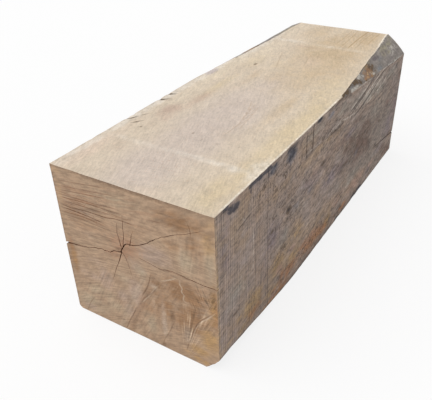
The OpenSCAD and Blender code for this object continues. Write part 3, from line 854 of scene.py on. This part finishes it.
# Swings a colour's value by patterns, each by its share either way of its middle, some only inside a field.
def toned(tree, colour, swings):
    value = 1.0
    for pattern, share, *fields in swings:
        swing = node(tree, "Math", {0: pattern, 1: 0.5}, operation="SUBTRACT")
        for field in fields:
            swing = node(tree, "Math", {0: swing, 1: field}, operation="MULTIPLY")
        value = node(tree, "Math", {0: swing, 1: 2 * share, 2: value}, operation="MULTIPLY_ADD")
    return node(tree, "HueSaturation", {"Color": colour, "Value": value})


woodShine = 0.25  # dry sawn wood has hardly any


# Ends a wood material: colour, roughness from a pattern between two values, and bump of a height in
# millimetres.
def finishWood(tree, colour, pattern, smooth, rough, height, relief):
    shader = tree.nodes["Principled BSDF"]
    shader.inputs["Specular IOR Level"].default_value = woodShine
    dull = node(tree, "MapRange", {"Value": pattern, "To Min": smooth, "To Max": rough})
    bump = node(tree, "Bump", {"Strength": 1.0, "Distance": relief / 1000, "Height": height})
    tree.links.new(colour, shader.inputs["Base Color"])
    tree.links.new(dull, shader.inputs["Roughness"])
    tree.links.new(bump, shader.inputs["Normal"])


# Fresh sawn oak of the top: pale and dull, pinkish in the heart and yellow in the sap, with saw scratches
# and ripples that lean to its length, gritty at the near end, and with a painted highlight along its right
# edge.
# Scratches and flecks of less than a millimetre are drawn 3 to 6 mm wide, so that they show.
tree = bpy.data.materials["pale_sawn_oak"].node_tree
place = node(tree, "TexCoord", out="Object")
gritty = node(tree, "Attribute", out="Fac", attribute_name="top_grit")
smooth = node(tree, "Math", {0: 1.0, 1: gritty}, operation="SUBTRACT", use_clamp=True)
cloud = blotches(tree, place, (60, 90, 60))
haze = blotches(tree, place, (16, 22, 16), (0, 0, 15), detail=4)
scratch = blotches(tree, place, (3, 34, 20), (0, 0, 20))
farScratch = blotches(tree, place, (6, 60, 20), (0, 0, 16), detail=3)
hatch = blotches(tree, place, (26, 3, 20), (0, 0, 9), stir=0.5)
fleck = blotches(tree, place, (3.6, 4.6, 4), stir=0.8)
farFleck = blotches(tree, place, (6, 12, 6), (0, 0, 20), stir=0.6)
saw = blotches(tree, place, (4.2, 26, 20), (0, 0, 22), stir=1.2)
colour = coated(tree, "top", "#d2c2ae", [
    ("pink", cloud, 1, "#cbbcb1", 0.1, 0.9, 0.6),
    ("yellow", haze, 0.9, "#d2bf9e", 0.1, 0.9, 0.35),
    ("warm", haze, 0.9, "#c4ad8d", 0.05, 0.95, 0.4),
    ("light", haze, 0.8, "#d9cab4", 0.1, 0.9, 0.5),
    ("peach", haze, 0.8, "#d9c4b1", 0.1, 0.9, 0.4),
    (cloud, 0.3, "#d2c4b0"),
    ("brown", haze, 0.6, "#b4998a", 0.05, 0.95, 0.8),
    ("pale", haze, 0.55, "#e4dcd1", 0.1, 1.0),
    ("lilac", fleck, 0.6, "#bcb0b4", 0.2, 0.7),
    (peaks(tree, fleck, 0.75, gritty), 0.5, "#a98f7c"),
    (peaks(tree, scratch, 0.8, smooth), 0.25, "#b79d80"),
    ("grainLine", fleck, 0.85, "#a58661"),
    # painted highlight along the top's right edge
    ("rimHighlightLine", fleck, 0.8, "#eee6d8"),
    ("spot", fleck, 0.75, "#75634f", 0.2, 0.6),
    ("nickLine", fleck, 0.85, "#5f5040"),
])
colour = toned(tree, colour, [
    (cloud, 0.03), (haze, 0.05), (scratch, 0.04, smooth), (farScratch, 0.03), (saw, 0.06, smooth),
    (fleck, 0.1), (farFleck, 0.06, smooth), (hatch, 0.06, gritty), (saw, 0.09, gritty),
])
finishWood(tree, colour, fleck, smooth=0.7, rough=0.95, height=scratch, relief=0.25)

# Weathered sawn oak of the sides: grey brown, hatched by the saw across and along near the end, smeared with
# dirt, rust and soot, darkened by painted shade over the far part and lightened low down by painted light, as
# from the floor, and with the log's own fibres fanning out below the wane. Saw lines, tooth marks and flecks
# of about a millimetre are drawn 4 to 7 mm wide, so that they show.
tree = bpy.data.materials["weathered_sawn_oak"].node_tree
place = node(tree, "TexCoord", out="Object")
fan, nearby, dirty = [node(tree, "Attribute", out="Fac", attribute_name="side_" + field)
                      for field in ("fan", "near", "dirt")]
far = node(tree, "Math", {0: 1.0, 1: nearby}, operation="SUBTRACT")
cloud = blotches(tree, place, (40, 60, 34), detail=3)
tint = blotches(tree, place, (30, 40, 22), (10, 0, 0), detail=3)
haze = blotches(tree, place, (16, 24, 13), (8, 0, 0), detail=3)
scratch = blotches(tree, place, (20, 34, 3.6), (8, 0, 0))
farGrain = blotches(tree, place, (20, 30, 6), (-6, 0, 0), detail=3)
fleck = blotches(tree, place, (4, 5.5, 4), (10, 0, 0))
farFleck = blotches(tree, place, (6, 13, 6), (4, 0, 0), stir=0.6)
dash = blotches(tree, place, (12, 16, 5), (14, 0, 0))
tick = blotches(tree, place, (9, 4.4, 8), (6, 0, 0), detail=1)
sawAcross = blotches(tree, place, (60, 4.2, 110), (-1, 0, 0), detail=1)
sawAlong = blotches(tree, place, (60, 60, 3.6), (2, 0, 0), detail=1)
sawTeeth = ripples(tree, place, "Y", pitch=5.6, turn=(-1, 0, 0), sway=0.5, over=90)
fibres = blotches(tree, place, (20, 160, 7), (14, 0, 0), detail=1)
colour = coated(tree, "side", "#9f8d81", [
    (tint, 0.45, "#a68a70"),
    (cloud, 0.45, "#868080"),
    # painted shade over the far part of the side
    ("paintedShade", cloud, 0.9, "#897d74", 0.05, 0.95, 0.6),
    # tan carries painted light low on the side, as from the floor, besides its own colour
    ("tan", tint, 0.7, "#a58e78"),
    ("violet", haze, 0.8, "#84787c"),
    ("grey", haze, 0.85, "#948c82"),
    ("smear", haze, 0.85, "#6d584e"),
    ("ochre", haze, 0.75, "#a58861"),
    ("rust", haze, 0.9, "#a37858"),
    # pink carries painted light low on the side, as from the floor, besides its own colour
    ("pink", haze, 0.75, "#a88b7d"),
    ("slate", haze, 0.75, "#6a6d77"),
    (peaks(tree, fibres, 0.6, fan), 0.45, "#b0a79e"),
    (peaks(tree, dash, 0.7, dirty), 0.75, "#5a4a3f"),
    (peaks(tree, fleck, 0.72, dirty), 0.75, "#4b3e35"),
    (peaks(tree, tick, 0.82, dirty), 0.8, "#43372e"),
    (peaks(tree, sawAcross, 0.8, nearby), 0.25, "#74646a"),
    ("paleLine", fleck, 0.8, "#c9bfb3"),
    ("fanPaleLine", fleck, 0.8, "#c9bfb3"),
    ("fanLine", fleck, 0.9, "#483e39"),
    ("darkLine", fleck, 0.8, "#4d4039"),
    ("brown", fleck, 0.8, "#58493d", 0.15, 0.8),
    ("stain", fleck, 0.85, "#3a3a43", 0.2, 0.65),
])
colour = toned(tree, colour, [
    (cloud, 0.06), (haze, 0.12), (fleck, 0.27), (farFleck, 0.24, far), (scratch, 0.07), (scratch, 0.14, far),
    (farGrain, 0.15, far), (sawAcross, 0.16, nearby), (sawTeeth, 0.17, nearby), (sawAlong, 0.12, nearby),
    (fibres, 0.34, fan),
])
finishWood(tree, colour, fleck, smooth=0.7, rough=0.95, height=scratch, relief=0.3)

# Crosscut oak: brown end grain with the lines of the saw, level above and steeper towards the floor, torn
# fibres in the lower right, medullary rays out from the heart, and pinkish or olive fields, with painted
# shade under the top edge and right of the brown triangle's left edge, and painted light left of that edge.
# Saw lines, rays and fibres of less than a millimetre are drawn 3 to 5 mm wide, so that they show.
crosscut = {
    "level": 215,                             # height where the saw ran level
    "slopeBelow": 0.72, "slopeAbove": 0.17,   # its slopes on the floor and on the top
    "brushFoot": (82, -10),                   # foot of the torn fibres, right of the middle and up
}
tree = bpy.data.materials["oak_end_grain"].node_tree
place = node(tree, "TexCoord", out="Object")
level, leftHalf, upright, steep, brushed, falling, rising = [
    node(tree, "Attribute", out="Fac", attribute_name="end_" + field)
    for field in ("level", "left", "upright", "steep", "brush", "hatch", "rise")]
levelGrain = node(tree, "Math", {0: 1.0, 1: steep}, operation="SUBTRACT", use_clamp=True)
placeX, placeY, placeZ = node(tree, "SeparateXYZ", {0: place}).node.outputs
# the saw's path: height less a slope times the way from the left, and the slope grows above and below a
# level line
levelHeight = crosscut["level"] / 1000
slopeLow = node(tree, "MapRange", {"Value": placeZ, "From Min": 0.0, "From Max": levelHeight,
                                   "To Min": crosscut["slopeBelow"], "To Max": 0.0})
slopeHigh = node(tree, "MapRange", {"Value": placeZ, "From Min": levelHeight,
                                    "From Max": beam["depth"] / 1000,
                                    "To Min": 0.0, "To Max": crosscut["slopeAbove"]})
slope = node(tree, "Math", {0: slopeLow, 1: slopeHigh}, operation="ADD")
fromLeft = node(tree, "Math", {0: placeX, 1: halfWidth / 1000}, operation="ADD")
drop = node(tree, "Math", {0: slope, 1: fromLeft}, operation="MULTIPLY")
sawHeight = node(tree, "Math", {0: placeZ, 1: drop}, operation="SUBTRACT")
sawPlace = node(tree, "CombineXYZ", {"X": placeX, "Y": placeY, "Z": sawHeight})
sawLine = blotches(tree, sawPlace, (70, 60, 3.6))
cloud = blotches(tree, place, (36, 60, 30), (0, -30, 0), detail=3)
haze = blotches(tree, place, (20, 60, 9), (0, -25, 0), detail=3)
fleck = blotches(tree, sawPlace, (22, 60, 3.4), detail=3, stir=0.4)
speck = blotches(tree, place, (4.5, 60, 4.5), stir=0.8)
uprights = blotches(tree, place, (5, 60, 50), (0, 8, 0))
strokes = blotches(tree, place, (4.2, 60, 40), (0, 28, 0))
hatch = blotches(tree, place, (24, 60, 3.6), (0, 68, 0), detail=1)
rise = blotches(tree, place, (24, 60, 3.6), (0, -63, 0), detail=1)
# the rays run by the angle round the heart, which lies between its places on the two ends
fromHeart = []
for k, (axis, middle) in enumerate(((placeX, halfWidth), (placeZ, 0))):
    heart = node(tree, "MapRange", {"Value": placeY, "From Min": -halfLength / 1000,
                                    "From Max": halfLength / 1000,
                                    "To Min": (beam["heartNear"][k] - middle) / 1000,
                                    "To Max": (beam["heartFar"][k] - middle) / 1000})
    fromHeart.append(node(tree, "Math", {0: axis, 1: heart}, operation="SUBTRACT"))
angle = node(tree, "Math", {0: fromHeart[1], 1: fromHeart[0]}, operation="ARCTAN2")
rayPlace = node(tree, "CombineXYZ", {"X": angle, "Y": fromHeart[0], "Z": fromHeart[1]})
ray = blotches(tree, rayPlace, (40, 60, 60))  # 40 thousandths of a radian, about 5 mm apart near the edges
footAcross, footUp = crosscut["brushFoot"]
footed = node(tree, "Mapping", {"Vector": place, "Location": (-footAcross / 1000, 0, -footUp / 1000)})
footX, _, footZ = node(tree, "SeparateXYZ", {0: footed}).node.outputs
brushAngle = node(tree, "Math", {0: footZ, 1: footX}, operation="ARCTAN2")
brushPlace = node(tree, "CombineXYZ", {"X": brushAngle, "Y": footZ})
brush = blotches(tree, brushPlace, (50, 90, 60))
colour = coated(tree, "end", "#af937a", [
    (cloud, 0.3, "#b59d84"),
    ("olive", cloud, 0.8, "#b3a189", 0.1, 0.9, 0.7),
    ("pink", haze, 0.8, "#b19a8a", 0.1, 0.9, 0.7),
    ("brown", haze, 0.9, "#977455", 0.1, 0.9, 0.8),
    # the next three coats are painted light left of the brown triangle's left edge and painted shade right of
    # it
    ("litLine", haze, 0.5, "#bba994"),
    ("shadeLine", haze, 0.7, "#8d6f57"),
    ("shade", haze, 0.8, "#876a52", 0.1, 0.9, 0.8),
    ("light", haze, 0.6, "#c3b09d", 0.1, 0.9, 0.8),
    ("red", speck, 0.5, "#a27359"),
    ("ochre", haze, 0.7, "#b99463", 0.1, 0.9, 0.5),
    (peaks(tree, sawLine, 0.62, level), 0.6, "#86624a"),
    (peaks(tree, brush, 0.62, brushed), 0.6, "#cbb79e"),
    (peaks(tree, hatch, 0.6, falling), 0.7, "#745842"),
    (peaks(tree, rise, 0.6, rising), 0.7, "#745842"),
    (peaks(tree, strokes, 0.75, steep), 0.4, "#826550"),
    ("paleLine", speck, 0.65, "#d0bfaa"),
    ("fineLine", speck, 0.85, "#6d4c37"),
    ("darkLine", speck, 0.85, "#694932"),
    # besides other dark patches, this darkens the top edge as painted shade under the arris
    ("dark", speck, 0.7, "#7f6753", 0.15, 0.9),
])
colour = toned(tree, colour, [
    (cloud, 0.04), (haze, 0.08), (speck, 0.085), (fleck, 0.065), (fleck, 0.13, levelGrain), (ray, 0.05),
    (sawLine, 0.26, level), (sawLine, 0.16, leftHalf), (uprights, 0.16, upright), (strokes, 0.28, steep),
    (brush, 0.4, brushed), (hatch, 0.7, falling), (rise, 0.5, rising),
])
finishWood(tree, colour, speck, smooth=0.7, rough=0.95, height=fleck, relief=0.3)

# Waney edge: the log's outside where the bark fell off, grey olive and fibrous, with bark rags, rust and
# pale bast. Its fibres of less than a millimetre are drawn 5 mm wide, so that they show.
tree = bpy.data.materials["waney_log_surface"].node_tree
place = node(tree, "TexCoord", out="Object")
cloud = blotches(tree, place, (14, 22, 14), detail=3)
fibre = blotches(tree, place, (5, 40, 5), detail=3)
speck = blotches(tree, place, (6, 9, 6), detail=3)
colour = coated(tree, "wane", "#8a827c", [
    (cloud, 0.4, "#968f88"),
    ("tan", fibre, 0.8, "#9c8d7c", 0.1, 0.8),
    ("green", cloud, 0.8, "#9b937e", 0.1, 0.8),
    ("blue", cloud, 0.8, "#767a7e", 0.1, 0.8),
    ("violet", cloud, 0.8, "#665d60", 0.1, 0.8),
    ("ochre", speck, 0.8, "#a08b66", 0.1, 0.8),
    ("rust", speck, 0.85, "#94704f", 0.1, 0.9, 1.2),
    ("straw", speck, 0.85, "#cdb089", 0.2, 0.9, 1.6),
    ("bark", speck, 0.9, "#59452f", 0.15, 0.8, 1.4),
    ("pale", speck, 0.8, "#bab4ab", 0.2, 0.8, 1.4),
])
colour = toned(tree, colour, [(cloud, 0.1), (fibre, 0.12), (speck, 0.22)])
finishWood(tree, colour, speck, smooth=0.75, rough=0.95, height=speck, relief=1.0)

# Walls of the drying checks: torn fibres, red brown in the shade, and greyer where the sides carry their
# painted shade. Fibres of less than a millimetre are drawn 4 mm wide, so that they show.
tree = bpy.data.materials["oak_check_wall"].node_tree
place = node(tree, "TexCoord", out="Object")
fibre = blotches(tree, place, (4, 30, 4), detail=3)
colour = coated(tree, "side", "#6d4730", [
    (fibre, 0.6, "#8d6446"),
    # painted shade: greyer where the side is painted darker
    ("paintedShade", fibre, 0.85, "#4a4341", 0.05, 0.5),
])
finishWood(tree, colour, fibre, smooth=0.8, rough=0.95, height=fibre, relief=0.5)
print("materials made:", len(materialNames))

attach(oakBeam, "root")
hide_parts("beam")

# Camera: where it stands in millimetres in the row frame, the way it looks, its way right, and its lens and
# film.
camera = {
    "place": (477.07, -932.90, 716.50),
    "forward": (-0.45536, 0.70390, -0.54514), "right": (0.84933, 0.52708, -0.02887),
    "lens": 46.858, "film": 36,
}
forward, across = Vector(camera["forward"]).normalized(), Vector(camera["right"]).normalized()
turned = Matrix((across, across.cross(forward), -forward)).transposed().to_4x4()
eye = bpy.data.objects.new("camera", bpy.data.cameras.new("camera"))
eye.data.lens, eye.data.sensor_width = camera["lens"], camera["film"]
eye.matrix_world = Matrix.Translation(Vector(camera["place"]) / 1000) @ turned
bpy.context.scene.collection.objects.link(eye)
bpy.context.scene.camera = eye

# Studio: an even white sky, one wide soft sun from the upper left, and a pale floor a little below the beam.
studio = {
    "sky": 0.55, "sun": 1.72, "sunFrom": (-0.32, -0.30, 0.90), "sunAngle": 75,
    "floorHalf": 12000, "floorDrop": 0.6, "floorColour": "#f2f2f2",
    "floorGlow": 0.82,  # share of plain white in the floor as the eye sees it
}


# 1 where a ray comes straight from the eye or by a mirror or a glass, so that the background is white there
# too.
def plainlySeen(tree):
    rays = node(tree, "LightPath").node.outputs
    either = node(tree, "Math", {0: rays["Is Camera Ray"], 1: rays["Is Glossy Ray"]}, operation="MAXIMUM")
    return node(tree, "Math", {0: either, 1: rays["Is Transmission Ray"]}, operation="MAXIMUM")


sky = bpy.data.worlds.new("studio_sky")
sky.use_nodes = True
tree = sky.node_tree
background = tree.nodes["Background"]
strength = node(tree, "MapRange", {"Value": plainlySeen(tree), "To Min": studio["sky"], "To Max": 1.0})
tree.links.new(strength, background.inputs["Strength"])
background.inputs["Color"].default_value = (1, 1, 1, 1)
bpy.context.scene.world = sky
sun = bpy.data.objects.new("soft_sun", bpy.data.lights.new("soft_sun", "SUN"))
sun.data.energy, sun.data.angle = studio["sun"], math.radians(studio["sunAngle"])
sun.rotation_mode = "QUATERNION"
sun.rotation_quaternion = Vector(studio["sunFrom"]).to_track_quat("Z", "Y")
bpy.context.scene.collection.objects.link(sun)

# White paper of the floor: matt, and nearly as white as the sky to the eye.
square = np.array([(-1, -1), (1, -1), (1, 1), (-1, 1)], float) * studio["floorHalf"]
floor = meshFrom("floor", np.column_stack([square, np.full(4, -studio["floorDrop"])]), [(0, 1, 2, 3)])
paper = bpy.data.materials.new("white_paper_floor")
paper.use_nodes = True
tree = paper.node_tree
sheet = tree.nodes["Principled BSDF"]
sheet.inputs["Base Color"].default_value = hexColour(studio["floorColour"])
sheet.inputs["Roughness"].default_value = 0.9
glow = node(tree, "Emission", {"Color": (1, 1, 1, 1), "Strength": 1.0})
share = node(tree, "Math", {0: plainlySeen(tree), 1: studio["floorGlow"]}, operation="MULTIPLY")
both = node(tree, "MixShader", {0: share, 1: sheet.outputs[0], 2: glow})
tree.links.new(both, tree.nodes["Material Output"].inputs["Surface"])
floor.data.materials.append(paper)
bpy.context.scene.view_settings.view_transform = "Standard"
